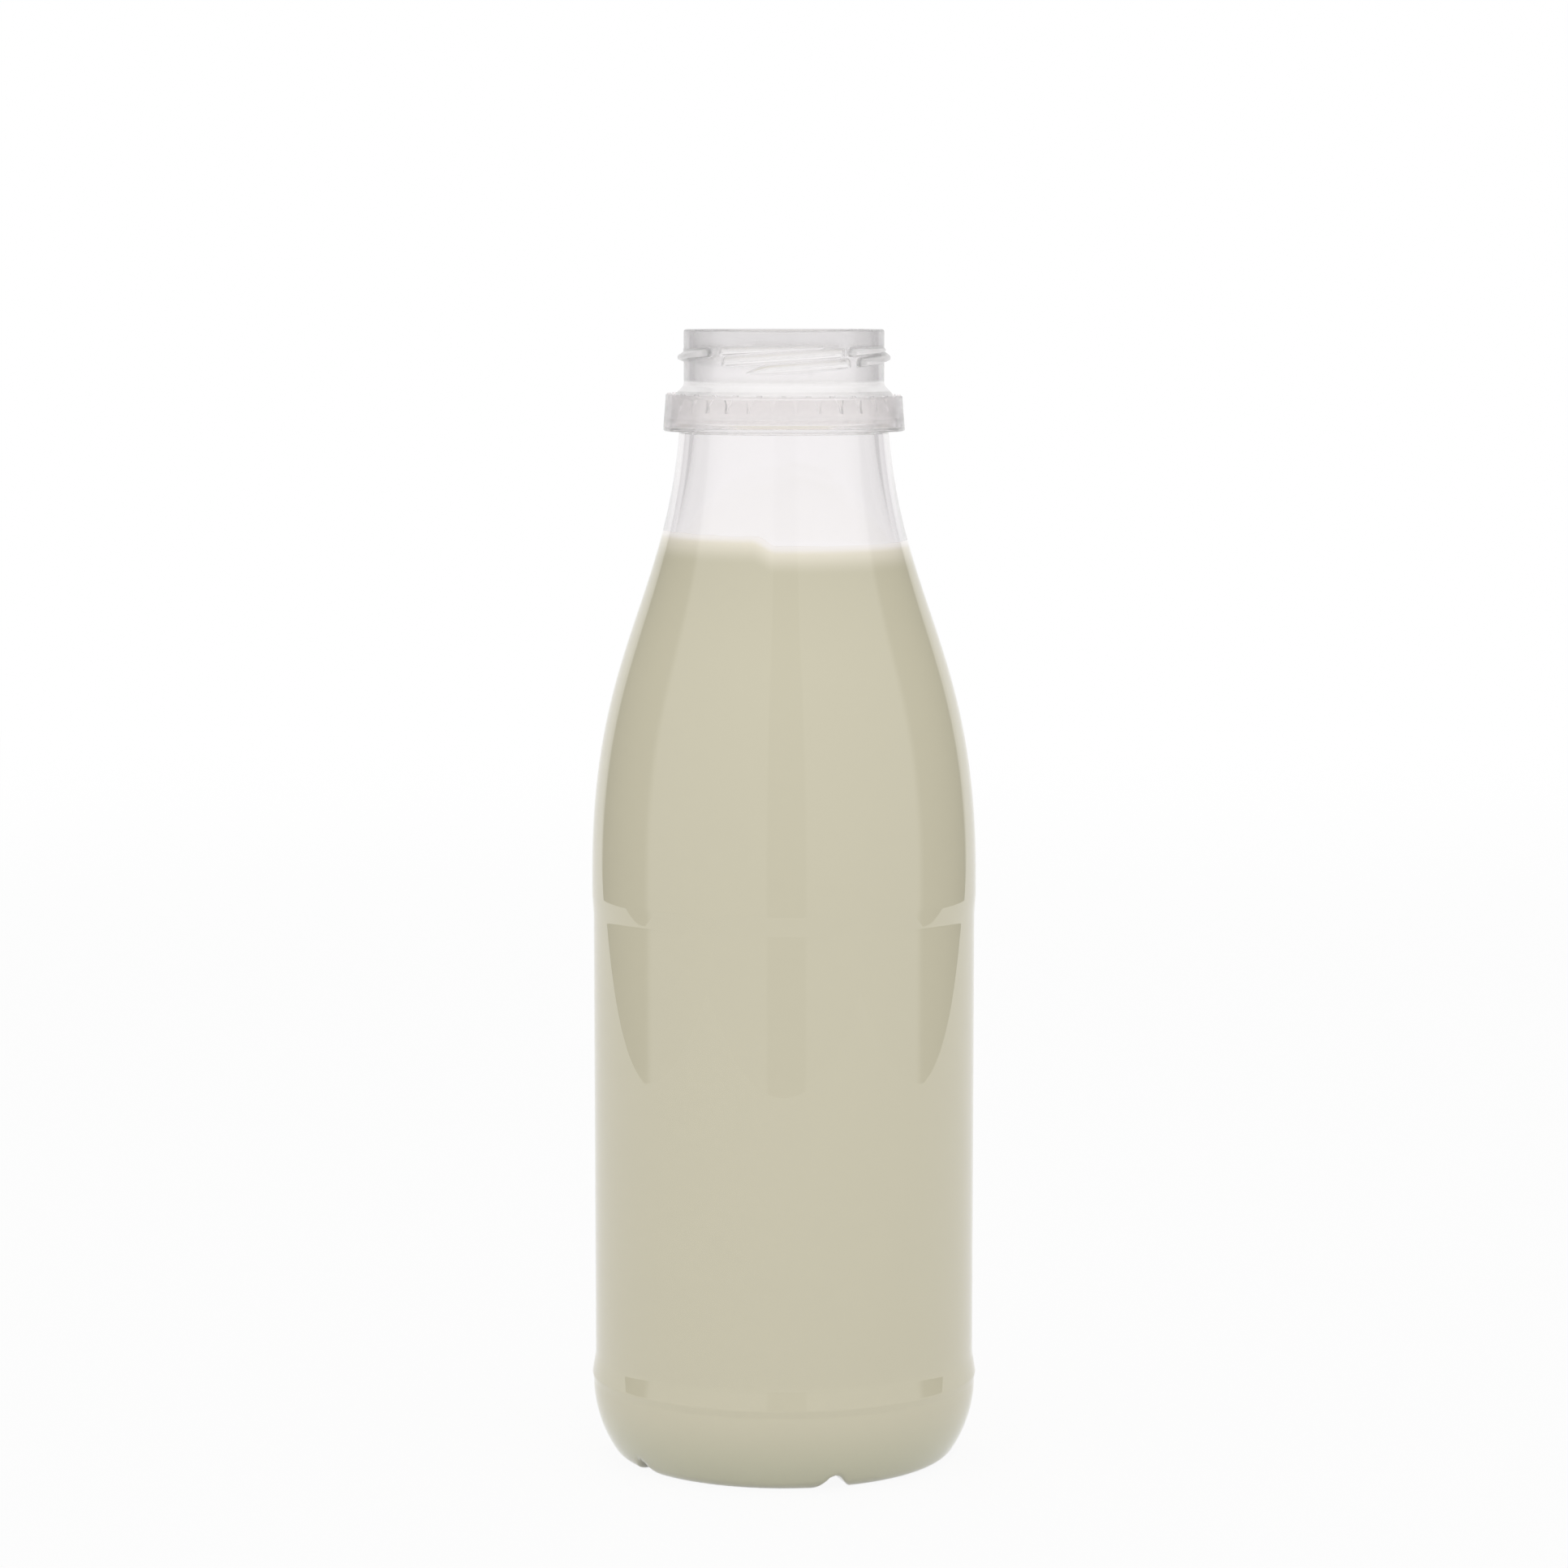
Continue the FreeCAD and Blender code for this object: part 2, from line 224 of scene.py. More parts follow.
# ---------------------------------------------------------------- stage, in metres
FLOOR_HALF = 0.445
FLOOR_SPREAD = 0.21         # the floor widens by this much for each metre behind the bottle
FLOOR_FRONT = 0.44
BACK_Y = 0.85
BACK_ROUND = 0.25
BACK_STEPS = 12
BACK_TOP = 0.9
FLOOR_GREY = 0.8
FLOOR_SEEN_Z = (0.002, 0.06)    # heights over which the backdrop grows to full white
FLOOR_SEEN = 0.93           # the share of plain white that is seen on the floor
THROUGH_WHITE = (1.0, 0.972, 0.98, 1.0)     # the white around, as plastic lets it through
SIDE_DARK = 0.06            # the level of the dark sides as a mirror shows them,
SIDE_DARK_SOFT = 0.65       # in the light on a surface,
SIDE_DARK_THROUGH = 0.75    # and through plastic
FRONT_LEVEL = 0.92
BACK_LEVEL = 0.85
STRIP_LEVEL = 0.6
# Azimuths in degrees from the front, over which the dark sides and the strip begin and end.
SIDE_FROM = (86, 93)
SIDE_TO = (142, 138)
STRIP_FROM = (-11, -9)
STRIP_TO = (14, 12)

# ---------------------------------------------------------------- camera
LENS = 109.07
SENSOR = 36.0
CAMERA_BACK = 835.0
CAMERA_OVER_RIM = 5.0
CAMERA_PITCH = 5.81
NEAR_CLIP = 0.05            # in metres
# light goes round inside the clear thread many times before it gets out
BOUNCES = 24
GLOSSY_BOUNCES = 16
THROUGH_BOUNCES = 20


# ---------------------------------------------------------------- outlines in the (r, z) plane
def arc(centre, radius, start, end, steps):
    """Points of an arc; angles in radians from +r towards +z."""
    return [(centre[0] + radius * math.cos(start + (end - start) * i / steps),
             centre[1] + radius * math.sin(start + (end - start) * i / steps)) for i in range(steps + 1)]


def rounded_path(corners):
    """A path through (r, z, radius) corners, each rounded, with guard points on the straights."""
    points = []
    for i, (r, z, radius) in enumerate(corners):
        here = np.array((r, z))
        if radius == 0 or i in (0, len(corners) - 1):
            points.append((r, z))
            continue
        back = np.array(corners[i - 1][:2]) - here
        ahead = np.array(corners[i + 1][:2]) - here
        reach_back, reach_ahead = np.linalg.norm(back), np.linalg.norm(ahead)
        back, ahead = back / reach_back, ahead / reach_ahead
        half = math.acos(np.clip(back @ ahead, -1, 1)) / 2
        cut = min(radius / math.tan(half), CORNER_SHARE * reach_back, CORNER_SHARE * reach_ahead)
        guard = min(GUARD_SHARE * cut, GUARD_MOST)
        a, b = here + back * cut, here + ahead * cut
        points.append(tuple(a + back * guard))
        for k in range(CORNER_STEPS + 1):
            # a conic that is tangent to both straights
            u = k / CORNER_STEPS
            c = (1 - u) ** 2, 2 * u * (1 - u) * math.sin(half), u ** 2
            p = (c[0] * a + c[1] * here + c[2] * b) / sum(c)
            points.append(tuple(p))
        points.append(tuple(b + ahead * guard))
    return points


def base_path(inset):
    """Dome, land and heel, from the axis out to the foot."""
    toe = HEEL_TOE_R
    heel = ((HEEL_R - LAND_OUTER_R) - toe * math.cos(HEEL_TURN)) / (1 - math.cos(HEEL_TURN))
    toe_centre = (LAND_OUTER_R, toe)
    heel_centre = (HEEL_R - heel, toe + (heel - toe) * math.sin(HEEL_TURN))
    dome = (LAND_INNER_R ** 2 + PUSH_UP ** 2) / (2 * PUSH_UP)
    dome_r = dome + inset
    dome_z = PUSH_UP - dome
    dome_end = math.asin((inset - dome_z) / dome_r)
    path = arc((0.0, dome_z), dome_r, math.pi / 2, dome_end + LAND_CUT / dome_r, DOME_STEPS)
    tip = np.array((dome_r * math.cos(dome_end), inset))
    a, b = np.array(path[-1]), tip + (LAND_CUT, 0)
    for k in range(1, LAND_STEPS + 1):
        u = k / LAND_STEPS
        path.append(tuple((1 - u) ** 2 * a + 2 * u * (1 - u) * tip + u ** 2 * b))
    path.append((LAND_OUTER_R - LAND_ROW, inset))
    path += arc(toe_centre, toe - inset, -math.pi / 2, -HEEL_TURN, TOE_STEPS)
    path += arc(heel_centre, heel - inset, -HEEL_TURN, 0.0, HEEL_STEPS)[1:]
    return path, heel_centre[1]


def shoulder_point(u):
    """Place and direction on the S-shaped shoulder, a cubic Bezier."""
    p = np.array([
        (SHOULDER_R, SHOULDER_TOP_Z),
        (SHOULDER_R, SHOULDER_TOP_Z + SHOULDER_HANDLE),
        (NECK_R + NECK_HANDLE * math.sin(NECK_SLOPE), NECK_Z - NECK_HANDLE * math.cos(NECK_SLOPE)),
        (NECK_R, NECK_Z),
    ])
    v = 1 - u
    at = v ** 3 * p[0] + 3 * v * v * u * p[1] + 3 * v * u * u * p[2] + u ** 3 * p[3]
    way = v * v * (p[1] - p[0]) + 2 * v * u * (p[2] - p[1]) + u * u * (p[3] - p[2])
    return at, way / np.linalg.norm(way)


def wall_at(z):
    """Thickness of the wall, which grows from the shoulder to the neck."""
    thick = NECK_R - BORE_R
    u = min(max((z - THIN_BELOW_Z) / (THICK_TO_Z - THIN_BELOW_Z), 0.0), 1.0)
    return WALL + (thick - WALL) * u * u * (3 - 2 * u)


def side_path(inset, heel_end_z):
    """Foot, label panel and step, from the end of the heel up to the shoulder."""
    return rounded_path([
        (HEEL_R - inset, heel_end_z - LEAD_IN, 0),
        (HEEL_R - inset, heel_end_z, FOOT_ROUND),
        (FOOT_R - inset, FOOT_Z, FOOT_ROUND),
        (PANEL_BOTTOM_R - inset, PANEL_BOTTOM_Z, STEP_ROUND),
        (PANEL_TOP_R - inset, PANEL_TOP_Z, STEP_ROUND),
        (SHOULDER_R - inset, SHOULDER_BOTTOM_Z, STEP_ROUND),
        (SHOULDER_R - inset, SHOULDER_TOP_Z, 0),
    ])[1:]


def shoulder_path(push, top_z):
    """The shoulder's inside, moved out into the wall by push; with push None the outside."""
    path = []
    for i in range(1, SHOULDER_STEPS + 1):
        (r, z), (tr, tz) = shoulder_point(i / SHOULDER_STEPS)
        if push is not None:
            inset = wall_at(z) - push
            r, z = max(r - inset * tz, BORE_R), z + inset * tr
        if z > top_z:
            break
        path.append((r, z))
    return path


def outer_path():
    """The outside from the base's centre up to the plain finish."""
    base, heel_end_z = base_path(0.0)
    path = base[:-1] + side_path(0.0, heel_end_z) + shoulder_path(None, HEIGHT)[:-1]
    ring_top = NECK_Z + SUPPORT_EDGE
    (r, z), _ = shoulder_point((SHOULDER_STEPS - 1) / SHOULDER_STEPS)
    path += rounded_path([
        (r, z, 0),
        (NECK_R, NECK_Z, NECK_ROUND),
        (SUPPORT_R, NECK_Z, SUPPORT_ROUND),
        (SUPPORT_R, ring_top, SUPPORT_ROUND),
        (SUPPORT_FLAT_R, ring_top, FLAT_ROUND),
        (THROAT_R, NECK_Z + SUPPORT_ROOT, THROAT_ROUND),
        (THROAT_R, BEAD_BOTTOM_Z, BEAD_ROOT_ROUND),
        (BEAD_R, BEAD_BOTTOM_Z, BEAD_ROUND),
        (BEAD_R, BEAD_BOTTOM_Z + BEAD_EDGE, BEAD_TOP_ROUND),
        (FINISH_R, CONE_TOP_Z, CONE_ROUND),
        (FINISH_R, CONE_TOP_Z + LEAD_IN, 0),
    ])[1:-1]
    return path


def bottle_path():
    """The whole wall: outside from the base's centre to the rim, then inside back down.
    Returns the points and the range of rows that carry the thread."""
    path = outer_path()
    thread_from = len(path)
    top = HEIGHT - LIP_ROUND
    low = path[-1][1]
    rows = int((top - low) / THREAD_ROW)
    path += [(FINISH_R, low + (top - low) * i / rows) for i in range(1, rows)]
    thread_to = len(path)
    path += arc((FINISH_R - LIP_ROUND, top), LIP_ROUND, 0.0, math.pi / 2, LIP_STEPS)
    path += arc((BORE_R + LIP_ROUND, top), LIP_ROUND, math.pi / 2, math.pi, LIP_STEPS)
    path += [(BORE_R, top - BORE_ROW), (BORE_R, NECK_Z + BORE_FOOT)]
    path += inner_path(0.0, HEIGHT)[::-1]
    return path, (thread_from, thread_to)


def inner_path(push, top_z):
    """The inside, moved out into the wall by push, from the base's centre up."""
    base, heel_end_z = base_path(WALL - push)
    return base[:-1] + side_path(WALL - push, heel_end_z) + shoulder_path(push, top_z)


# ---------------------------------------------------------------- relief
def smooth(low, high, x):
    """0 at low, 1 at high, and an even S between them; low may be the larger."""
    u = np.clip((x - low) / (high - low), 0.0, 1.0)
    return u * u * (3 - 2 * u)


def ridge_height(azimuth, z):
    """Height of the thread over the plain finish, at azimuths in degrees from the front towards +X."""
    height = np.zeros(np.broadcast(azimuth, z).shape)
    for start in range(STARTS):
        along = (azimuth - THREAD_AZIMUTH - start * 360.0 / STARTS) % 360.0
        grow = np.sin(np.clip(along / TIP_RUN, 0, 1) * math.pi / 2)
        full = np.maximum(grow * 0.5 ** (np.maximum(along - FADE_FROM, 0) / FADE_HALF), TIP_SIZE)
        window = np.zeros_like(along)
        for begin, end in LONG_START if start % 2 == 0 else SHORT_START:
            window = np.maximum(window, smooth(begin - END_ROUND, begin + END_ROUND, along)
                                * smooth(end + END_ROUND, end - END_ROUND, along))
        rise = np.where(along < TIP_RUN, TIP_RISE * (1 - full), 0.0)
        root = HEIGHT - THREAD_DROP + LEAD * along / 360.0 - RIDGE_WIDTH / 2 + rise
        u = (z - root) / (RIDGE_WIDTH * full)
        section = smooth(*LOW_FLANK, u) * smooth(*HIGH_FLANK, u)
        height = np.maximum(height, RIDGE_DEPTH * full * window * section)
    return height


def groove_lift(r, azimuth, z, inset):
    """Height of the base at a point of its outline, with the radial grooves raised into it."""
    pitch = 360.0 / GROOVES
    off = np.radians((azimuth - GROOVE_AZIMUTH + pitch / 2) % pitch - pitch / 2)
    side = np.abs(r * np.sin(off))
    width = GROOVE_WIDTH + 2 * inset
    crown = (GROOVE_DEPTH + inset) * np.cos(math.pi * np.minimum(side / width, 0.5)) ** 2
    blend = np.minimum(GROOVE_EDGE, crown + TINY)
    gap = np.maximum(blend - np.abs(crown - z), 0.0)
    return np.maximum(crown, z) + gap ** 2 / (4 * blend)


# ---------------------------------------------------------------- meshes
def turned(name, path, material, grooved, thread_rows=None):
    """A mesh of revolution with a pole at each end of its path, with the base's grooves and the thread.
    grooved lists (rows, inset) for the base, and thread_rows is the range of rows with the thread."""
    azimuth = np.arange(COLUMNS) * 360.0 / COLUMNS
    r = np.array([p[0] for p in path])[:, None] + 0 * azimuth
    z = np.array([p[1] for p in path])[:, None] + 0 * azimuth
    if thread_rows:
        a, b = thread_rows
        r[a:b] += ridge_height(azimuth[None, :], z[a:b])
    for rows, inset in grooved:
        z[rows] = groove_lift(r[rows], azimuth[None, :], z[rows], inset)
    rad = np.radians(azimuth)[None, :]
    x, y = r * np.sin(rad), -r * np.cos(rad)
    co = np.stack([x, y, z], axis=2)
    rows = len(path) - 2
    verts = co[1:-1].reshape(-1, 3)
    i, j = np.meshgrid(np.arange(rows - 1), np.arange(COLUMNS), indexing="ij")
    k = (j + 1) % COLUMNS
    quads = np.stack([i * COLUMNS + j, i * COLUMNS + k, (i + 1) * COLUMNS + k, (i + 1) * COLUMNS + j], axis=2)
    faces = quads.reshape(-1, 4).tolist()
    first, last = len(verts), len(verts) + 1
    verts = np.vstack([verts, [[0, 0, path[0][1]], [0, 0, path[-1][1]]]])
    end = (rows - 1) * COLUMNS
    faces += [[first, (c + 1) % COLUMNS, c] for c in range(COLUMNS)]
    faces += [[last, end + c, end + (c + 1) % COLUMNS] for c in range(COLUMNS)]
    mesh = bpy.data.meshes.new(name)
    mesh.from_pydata((verts * MM).tolist(), [], faces)
    mesh.polygons.foreach_set("use_smooth", np.ones(len(faces), bool))
    mesh.update()
    mesh.materials.append(material)
    obj = bpy.data.objects.new(name, mesh)
    bpy.context.scene.collection.objects.link(obj)
    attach(obj, "root")
    return obj


def milk_path():
    """The milk's skin up to its level: the wall's inside moved out into the wall."""
    path = inner_path(MILK_PUSH, FILL_Z)
    below = np.array(path[-1])
    above = np.array(inner_path(MILK_PUSH, HEIGHT)[len(path)])
    u = (FILL_Z - below[1]) / (above[1] - below[1])
    path.append(tuple(below + (above - below) * u))
    return path


@lru_cache
def wall_table():
    """Heights and radii of the milk's skin if it went on up the wall."""
    upper = [p for p in inner_path(MILK_PUSH, HEIGHT) if p[1] > THIN_BELOW_Z]
    return [z for r, z in upper], [r for r, z in upper]


def wall_r(z):
    """Radius of the milk's skin on the wall at a height near its level."""
    heights, radii = wall_table()
    return np.interp(z, heights, radii)


def film_height(azimuth):
    """How high the milk clings to the wall: a meniscus, and a film left in front on one side."""
    left = smooth(*FILM_START, azimuth) * smooth(*FILM_END, azimuth)
    near = smooth(*NEAR_SIDE, np.abs(azimuth))
    wave = sum(rise * np.sin(np.radians(azimuth * count + begin)) for rise, count, begin in FILM_WAVES)
    return FAR_MENISCUS + (MENISCUS - FAR_MENISCUS) * near + (FILM_HEIGHT + wave) * left


def make_milk(material):
    """The milk up to its level, with the meniscus and the film where it clings to the wall."""
    side = milk_path()
    edge_r = side[-1][0]
    climb = [(edge_r, FILL_Z)] * len(FILM_CLIMB)
    top = [(edge_r - d, FILL_Z) for d in FILM_BACK]
    path = side + climb + top + [(0.0, FILL_Z)]
    obj = turned("milk_fill", path, material, [(slice(0, BASE_ROWS), WALL - MILK_PUSH)])
    mesh = obj.data
    co = np.empty(len(mesh.vertices) * 3)
    mesh.vertices.foreach_get("co", co)
    co = co.reshape(-1, 3) / MM
    rows = co[:(len(path) - 2) * COLUMNS].reshape(-1, COLUMNS, 3)
    height = film_height(np.degrees(np.arctan2(rows[0, :, 0], -rows[0, :, 1])))
    edge_row = len(side) - 1
    # each moved row as its share of the full height and its share of the wall's lean
    moved = [(u, 1.0) for u in FILM_CLIMB]
    moved += [(math.exp(-d / FILM_FADE), math.exp(-d)) for d in FILM_BACK]
    for row, (share, near) in zip(rows[edge_row:], moved):
        lean = wall_r(FILL_Z + height * share) / edge_r
        row[:, :2] *= (1 + (lean - 1) * near)[:, None]
        row[:, 2] = FILL_Z + height * share
    mesh.vertices.foreach_set("co", (co * MM).reshape(-1))
    mesh.update()
    return obj


# ---------------------------------------------------------------- shader nodes
def new_material(name):
    m = bpy.data.materials.new(name)
    m.use_nodes = True
    m.node_tree.nodes.clear()
    return m, m.node_tree


def give(tree, socket, value):
    """Links a socket to another node's output, or sets it to a plain value."""
    if isinstance(value, bpy.types.NodeSocket):
        tree.links.new(value, socket)
    else:
        socket.default_value = value


def add(tree, kind, **inputs):
    n = tree.nodes.new(kind)
    for key, value in inputs.items():
        n.inputs[key.replace("_", " ")].default_value = value
    return n


def calc(tree, operation, *values):
    n = tree.nodes.new("ShaderNodeMath")
    n.operation = operation
    for socket, value in zip(n.inputs, values):
        give(tree, socket, value)
    return n.outputs[0]


def times(tree, a, b):
    return calc(tree, "MULTIPLY", a, b)


def span(tree, value, low, high, to_low=0.0, to_high=1.0):
    """An even S from to_low, where the value is low, to to_high, where it is high; low may be the larger."""
    n = tree.nodes.new("ShaderNodeMapRange")
    n.interpolation_type = "SMOOTHSTEP"
    n.inputs["From Min"].default_value = low
    n.inputs["From Max"].default_value = high
    n.inputs["To Min"].default_value = to_low
    n.inputs["To Max"].default_value = to_high
    tree.links.new(value, n.inputs["Value"])
    return n.outputs[0]


def linear(r, g, b):
    """A colour given as 0 to 255 sRGB, as the linear colour that the shaders take."""
    def one(c):
        c /= 255
        return c / 12.92 if c <= 0.04045 else ((c + 0.055) / 1.055) ** 2.4
    return (one(r), one(g), one(b), 1.0)


def grey(level):
    return (level, level, level, 1)


def metres(start, offsets):
    """Places at some offsets from a start, all in millimetres, in metres."""
    return [(start + offset) * MM for offset in offsets]


def mix_colour(tree, factor, a, b):
    n = tree.nodes.new("ShaderNodeMix")
    n.data_type = "RGBA"
    values = {"Factor_Float": factor, "A_Color": a, "B_Color": b}
    for socket in n.inputs:
        if socket.identifier in values:
            give(tree, socket, values[socket.identifier])
    return next(socket for socket in n.outputs if socket.identifier == "Result_Color")


def mix_shader(tree, factor, a, b):
    mix = tree.nodes.new("ShaderNodeMixShader")
    for socket, value in zip(mix.inputs, (factor, a, b)):
        tree.links.new(value, socket)
    return mix.outputs[0]


def noise(tree, scale):
    place = tree.nodes.new("ShaderNodeTexCoord")
    n = add(tree, "ShaderNodeTexNoise", Scale=scale, Detail=NOISE_DETAIL)
    tree.links.new(place.outputs["Object"], n.inputs["Vector"])
    return n.outputs["Fac"]


def split(tree, coordinates):
    """The three parts of one of the texture coordinates."""
    place = tree.nodes.new("ShaderNodeTexCoord")
    xyz = tree.nodes.new("ShaderNodeSeparateXYZ")
    tree.links.new(place.outputs[coordinates], xyz.inputs[0])
    return xyz.outputs["X"], xyz.outputs["Y"], xyz.outputs["Z"]


def from_axis(tree, x, y):
    """Distance from the bottle's axis."""
    return calc(tree, "SQRT", calc(tree, "ADD", times(tree, x, x), times(tree, y, y)))


def facing(tree):
    """0 where a surface is seen square on, 1 at its outline."""
    return tree.nodes.new("ShaderNodeLayerWeight").outputs["Facing"]


def ray(tree, kind):
    """What the Light Path node says about the ray."""
    return tree.nodes.new("ShaderNodeLightPath").outputs[kind]


# ---------------------------------------------------------------- clear plastic
def open_to_light(tree, shader, tint):
    """Lets shadow and diffuse rays through, so that what is behind the plastic is lit evenly."""
    clear = add(tree, "ShaderNodeBsdfTransparent", Color=tint)
    through = calc(tree, "MAXIMUM", ray(tree, "Is Shadow Ray"), ray(tree, "Is Diffuse Ray"))
    return mix_shader(tree, through, shader, clear.outputs[0])


def paint_deep_ray_light(tree, shader):
    """Painted light: after some turns a ray sees a grey emission of the plastic, instead of going dark."""
    too_deep = calc(tree, "GREATER_THAN", ray(tree, "Ray Depth"), DEEP_RAY_DEPTH)
    deep_ray_emission = add(tree, "ShaderNodeEmission", Color=grey(DEEP_RAY_PAINTED_LIGHT), Strength=1.0)
    return mix_shader(tree, too_deep, shader, deep_ray_emission.outputs[0])


def paint_shade(tree, amount, shader):
    """Paints shade on a clear piece: takes an amount of its light off what the camera sees."""
    dark = add(tree, "ShaderNodeBsdfTransparent", Color=grey(0.0))
    return mix_shader(tree, times(tree, ray(tree, "Is Camera Ray"), amount), shader, dark.outputs[0])


def paint_highlight(tree, amount, shader):
    """Paints a highlight on a clear piece: mixes white emission into what the camera sees of it."""
    white = add(tree, "ShaderNodeEmission", Color=PAINTED_HIGHLIGHT_WHITE, Strength=1.0)
    return mix_shader(tree, times(tree, ray(tree, "Is Camera Ray"), amount), shader, white.outputs[0])


def clear_plastic():
    m, tree = new_material("pet_clear")
    out = tree.nodes.new("ShaderNodeOutputMaterial")
    plastic = add(tree, "ShaderNodeBsdfPrincipled", Transmission_Weight=1.0, IOR=PET_IOR)
    x, y, z = split(tree, "Object")
    finish = span(tree, z, (BEAD_BOTTOM_Z - FINISH_BELOW_BEAD) * MM, (BEAD_BOTTOM_Z + BEAD_EDGE) * MM)
    # faint unevenness of the plastic, in tint and in gloss
    tint = mix_colour(tree, noise(tree, TINT_GRAIN), grey(TINT_LOW), WHITE)
    gloss = span(tree, noise(tree, GLOSS_GRAIN), *GLOSS_NOISE, 0.0, GLOSS_SPREAD)
    roughness = calc(tree, "ADD", gloss, times(tree, finish, FINISH_ROUGHNESS))
    tree.links.new(tint, plastic.inputs["Base Color"])
    tree.links.new(roughness, plastic.inputs["Roughness"])
    depth = add(tree, "ShaderNodeVolumeAbsorption", Color=grey(0.0), Density=PET_GREY / MM)
    tree.links.new(depth.outputs[0], out.inputs["Volume"])
    # painted light: deep rays inside the plastic see a grey emission
    deep_ray_emission = paint_deep_ray_light(tree, plastic.outputs[0])
    # painted shade: the moulded finish is darkened for the camera at its top and where it curves away
    top = span(tree, z, TOP_FROM_Z * MM, TOP_FULL_Z * MM)
    side = times(tree, calc(tree, "SUBTRACT", finish, top), span(tree, facing(tree), 0.0, SIDE_FULL))
    painted_shade_amount = calc(tree, "ADD", times(tree, top, TOP_PAINTED_SHADE), times(tree, side, SIDE_PAINTED_SHADE))
    with_painted_shade = paint_shade(tree, painted_shade_amount, deep_ray_emission)
    # painted highlight: the ridges and the bead's cone get white emission for the camera
    ridge = times(tree, finish, span(tree, from_axis(tree, x, y), *metres(FINISH_R, RIDGE_OUT)))
    cone = times(tree, span(tree, z, *metres(CONE_TOP_Z, CONE_FROM)),
                 span(tree, z, *metres(CONE_TOP_Z, CONE_TO)))
    highlight_amount = calc(tree, "MAXIMUM", times(tree, ridge, RIDGE_PAINTED_HIGHLIGHT), times(tree, cone, CONE_PAINTED_HIGHLIGHT))
    with_highlight = paint_highlight(tree, highlight_amount, with_painted_shade)
    tree.links.new(open_to_light(tree, with_highlight, grey(PET_THROUGH)), out.inputs["Surface"])
    return m


def ring_plastic():
    m, tree = new_material("ring_natural")
    out = tree.nodes.new("ShaderNodeOutputMaterial")
    plastic = add(tree, "ShaderNodeBsdfPrincipled", IOR=RING_IOR, Roughness=RING_ROUGHNESS,
                  Transmission_Weight=RING_CLEAR)
    tint = mix_colour(tree, noise(tree, RING_GRAIN), *RING_TINTS)
    tree.links.new(tint, plastic.inputs["Base Color"])
    # painted shade: the ring is darkened for the camera where it curves away
    side = times(tree, span(tree, facing(tree), *RING_SIDE), RING_PAINTED_SHADE)
    # painted light: deep rays inside the ring see a grey emission
    with_painted_shade = paint_shade(tree, side, paint_deep_ray_light(tree, plastic.outputs[0]))
    tree.links.new(open_to_light(tree, with_painted_shade, grey(RING_THROUGH)), out.inputs["Surface"])
    return m


# ---------------------------------------------------------------- milk
def milk_white():
    m, tree = new_material("milk_white")
    out = tree.nodes.new("ShaderNodeOutputMaterial")
    milk = add(tree, "ShaderNodeBsdfPrincipled", IOR=MILK_IOR, Specular_IOR_Level=MILK_GLOSS)
    x, y, z = split(tree, "Object")
    to_wall = calc(tree, "SUBTRACT", wall_r(FILL_Z) * MM, from_axis(tree, x, y))
    on_wall = span(tree, to_wall, *metres(0.0, NEAR_WALL))
    # the film left on one side in front lifts the painted light of the pale edge with it
    film = times(tree, span(tree, x, *metres(0.0, FILM_X)), span(tree, y, *metres(0.0, FILM_Y)))
    film = times(tree, film, on_wall)
    edge_z = calc(tree, "SUBTRACT", z, times(tree, film, FILM_HEIGHT * MM))
    edge_top = FILL_Z + MENISCUS - EDGE_DROP
    # painted light: the milk grows paler towards its top edge
    near_top = span(tree, edge_z, (FILL_Z - PALE_DEPTH) * MM, edge_top * MM)
    # painted shade: the milk is darker towards the base
    near_base = span(tree, z, *metres(0.0, MILK_BASE_Z))
    colour = mix_colour(tree, noise(tree, MILK_GRAIN), linear(*MILK_TINTS[0]), linear(*MILK_TINTS[1]))
    colour = mix_colour(tree, near_base, colour, linear(*MILK_BASE_SHADE))
    colour = mix_colour(tree, near_top, colour, linear(*MILK_EDGE_PAINTED_LIGHT))
    tree.links.new(colour, milk.inputs["Base Color"])
    depth = calc(tree, "SUBTRACT", FILL_Z * MM, z)
    on_top = span(tree, depth, *metres(0.0, TOP_SKIN))
    roughness = calc(tree, "SUBTRACT", MILK_ROUGHNESS, times(tree, on_top, MILK_TOP_GLOSS))
    tree.links.new(roughness, milk.inputs["Roughness"])
    # painted light: an emission stands in for the light behind the thinnest milk
    thin = times(tree, span(tree, edge_z, (edge_top - THIN_DEPTH) * MM, edge_top * MM), on_wall)
    painted_behind = add(tree, "ShaderNodeEmission", Color=THIN_PAINTED_LIGHT, Strength=1.0)
    soft = mix_shader(tree, times(tree, thin, THIN_SHARE), milk.outputs[0], painted_behind.outputs[0])
    tree.links.new(soft, out.inputs["Surface"])
    return m


# ---------------------------------------------------------------- the object
outline, thread_rows = bottle_path()
base_rows = [(slice(0, BASE_ROWS), 0.0), (slice(len(outline) - BASE_ROWS, len(outline)), WALL)]
bottle = turned("clear_bottle", outline, clear_plastic(), base_rows, thread_rows)
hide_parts("bottle")

milk_fill = make_milk(milk_white())
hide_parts("milk")

ring_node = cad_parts["tamper_ring"]
ring_node.material_slots[0].material = ring_plastic()


